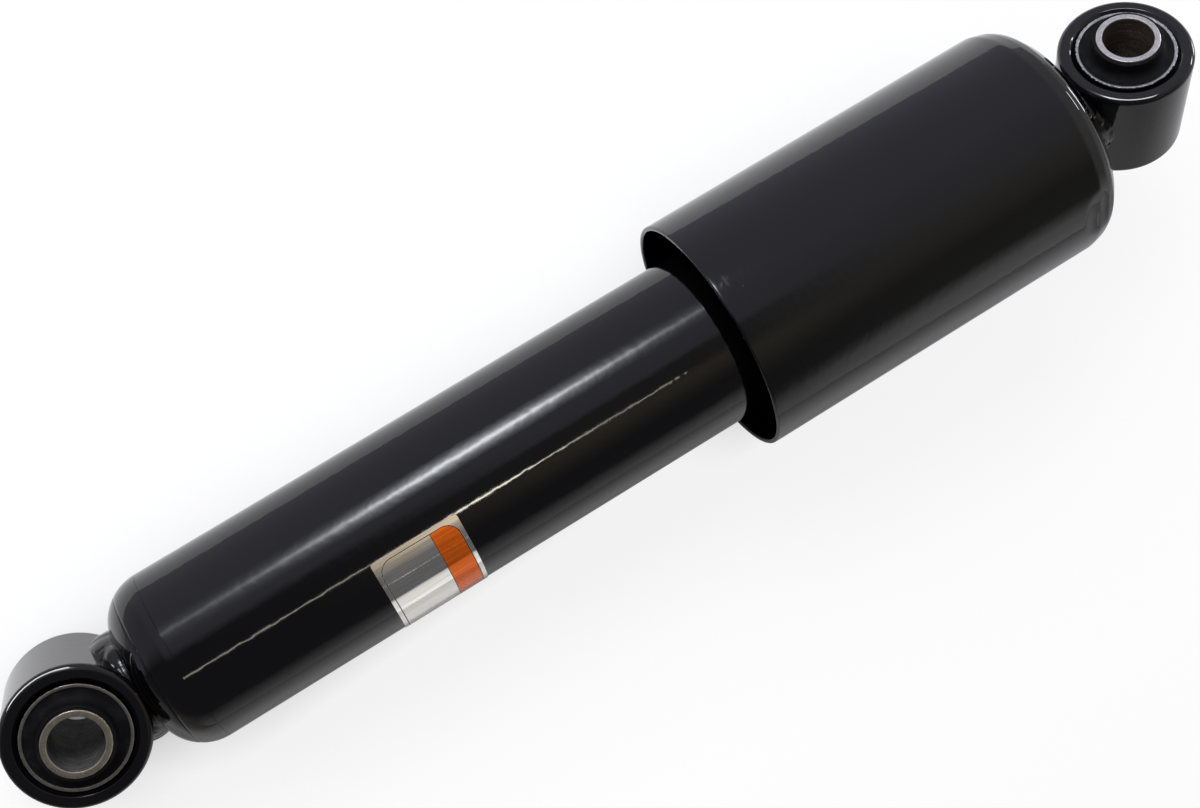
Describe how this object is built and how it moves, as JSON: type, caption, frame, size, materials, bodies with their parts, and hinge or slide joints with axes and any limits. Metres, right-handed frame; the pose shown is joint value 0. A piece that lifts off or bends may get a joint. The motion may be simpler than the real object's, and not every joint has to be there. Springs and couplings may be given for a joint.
{
  "type": "gas shock absorber",
  "caption": "Gas shock absorber: a black tube with a sliding rod under a round dust cover, and a rubber-bushed mounting eye at each end.",
  "frame": {"origin": "centre of the lower eye's bolt bore", "axes": "+X along the rod towards the upper eye, +Z along the lower eye's bolt bore"},
  "size_m": [0.339, 0.0624, 0.0624],
  "materials": {
    "gloss_black_paint": "deep gloss black paint over steel",
    "yellow_zinc_sleeve": "dull yellowish zinc plate",
    "bright_zinc_sleeve": "bright zinc plate",
    "bush_rubber": "matte black moulded rubber",
    "foil_label": "brushed silver foil",
    "hard_chrome": "polished chrome plate",
    "machined_steel": "turned and oiled",
    "machined_alloy": "turned",
    "bearing_bronze": "sintered bearing lining",
    "seal_rubber": "smooth black rubber",
    "band_plastic": "filled sliding plastic",
    "wiper_plastic": "black moulded plastic"
  },
  "bodies": {
    "cylinder": {"cylinder_tube": "gloss_black_paint", "base_cap": "gloss_black_paint", "lower_eye": "gloss_black_paint", "lower_weld_bead": "gloss_black_paint", "lower_bush_outer_sleeve": "yellow_zinc_sleeve", "lower_bush_rubber": "bush_rubber", "label_foil": "foil_label", "rod_guide": "machined_alloy", "guide_bush": "bearing_bronze", "guide_o_ring": "seal_rubber", "rod_seal": "seal_rubber", "seal_backing_washer": "machined_steel", "retaining_ring": "machined_steel", "wiper_cap": "wiper_plastic"},
    "lower_sleeve": {"lower_bush_inner_sleeve": "yellow_zinc_sleeve"},
    "floating_piston": {"floating_piston": "machined_alloy", "floating_piston_o_ring": "seal_rubber"},
    "piston_band": {"piston_band": "band_plastic"},
    "rod_assembly": {"piston_rod": "hard_chrome", "piston_nut": "machined_steel", "lower_stop_washer": "machined_steel", "rebound_shims": "machined_steel", "piston": "machined_alloy", "compression_shims": "machined_steel", "upper_stop_washer": "machined_steel", "rebound_stop_collar": "machined_steel", "rebound_cushion": "seal_rubber", "bump_stop": "seal_rubber", "cover_tube": "gloss_black_paint", "cover_cap": "gloss_black_paint", "upper_weld_bead": "gloss_black_paint", "upper_eye": "gloss_black_paint", "upper_bush_outer_sleeve": "bright_zinc_sleeve", "upper_bush_rubber": "bush_rubber"},
    "upper_sleeve": {"upper_bush_inner_sleeve": "bright_zinc_sleeve"}
  },
  "joints": [
    {"name": "piston_slide", "type": "slide", "parent": "cylinder", "child": "piston_band", "axis": [1, 0, 0], "range_m": [-0.075, 0], "stiffness_N_per_m": 1660, "springref_m": 0.148},
    {"name": "rod_turn", "type": "hinge", "parent": "piston_band", "child": "rod_assembly", "pos_m": [0.1464, 0, 0], "axis": [1, 0, 0], "continuous": true},
    {"name": "floating_piston_slide", "type": "slide", "parent": "cylinder", "child": "floating_piston", "axis": [1, 0, 0], "range_m": [-0.00732, 0]},
    {"name": "lower_sleeve_twist", "type": "hinge", "parent": "cylinder", "child": "lower_sleeve", "pos_m": [0, 0, 0], "axis": [0, 0, 1], "range_deg": [-15, 15], "stiffness_Nm_per_rad": 44},
    {"name": "upper_sleeve_twist", "type": "hinge", "parent": "rod_assembly", "child": "upper_sleeve", "pos_m": [0.305, 0, 0], "axis": [0, 0.7071, 0.7071], "range_deg": [-15, 15], "stiffness_Nm_per_rad": 44}
  ],
  "couplings": [
    {"joint": "floating_piston_slide", "follows": "piston_slide", "ratio": 0.097656}
  ]
}
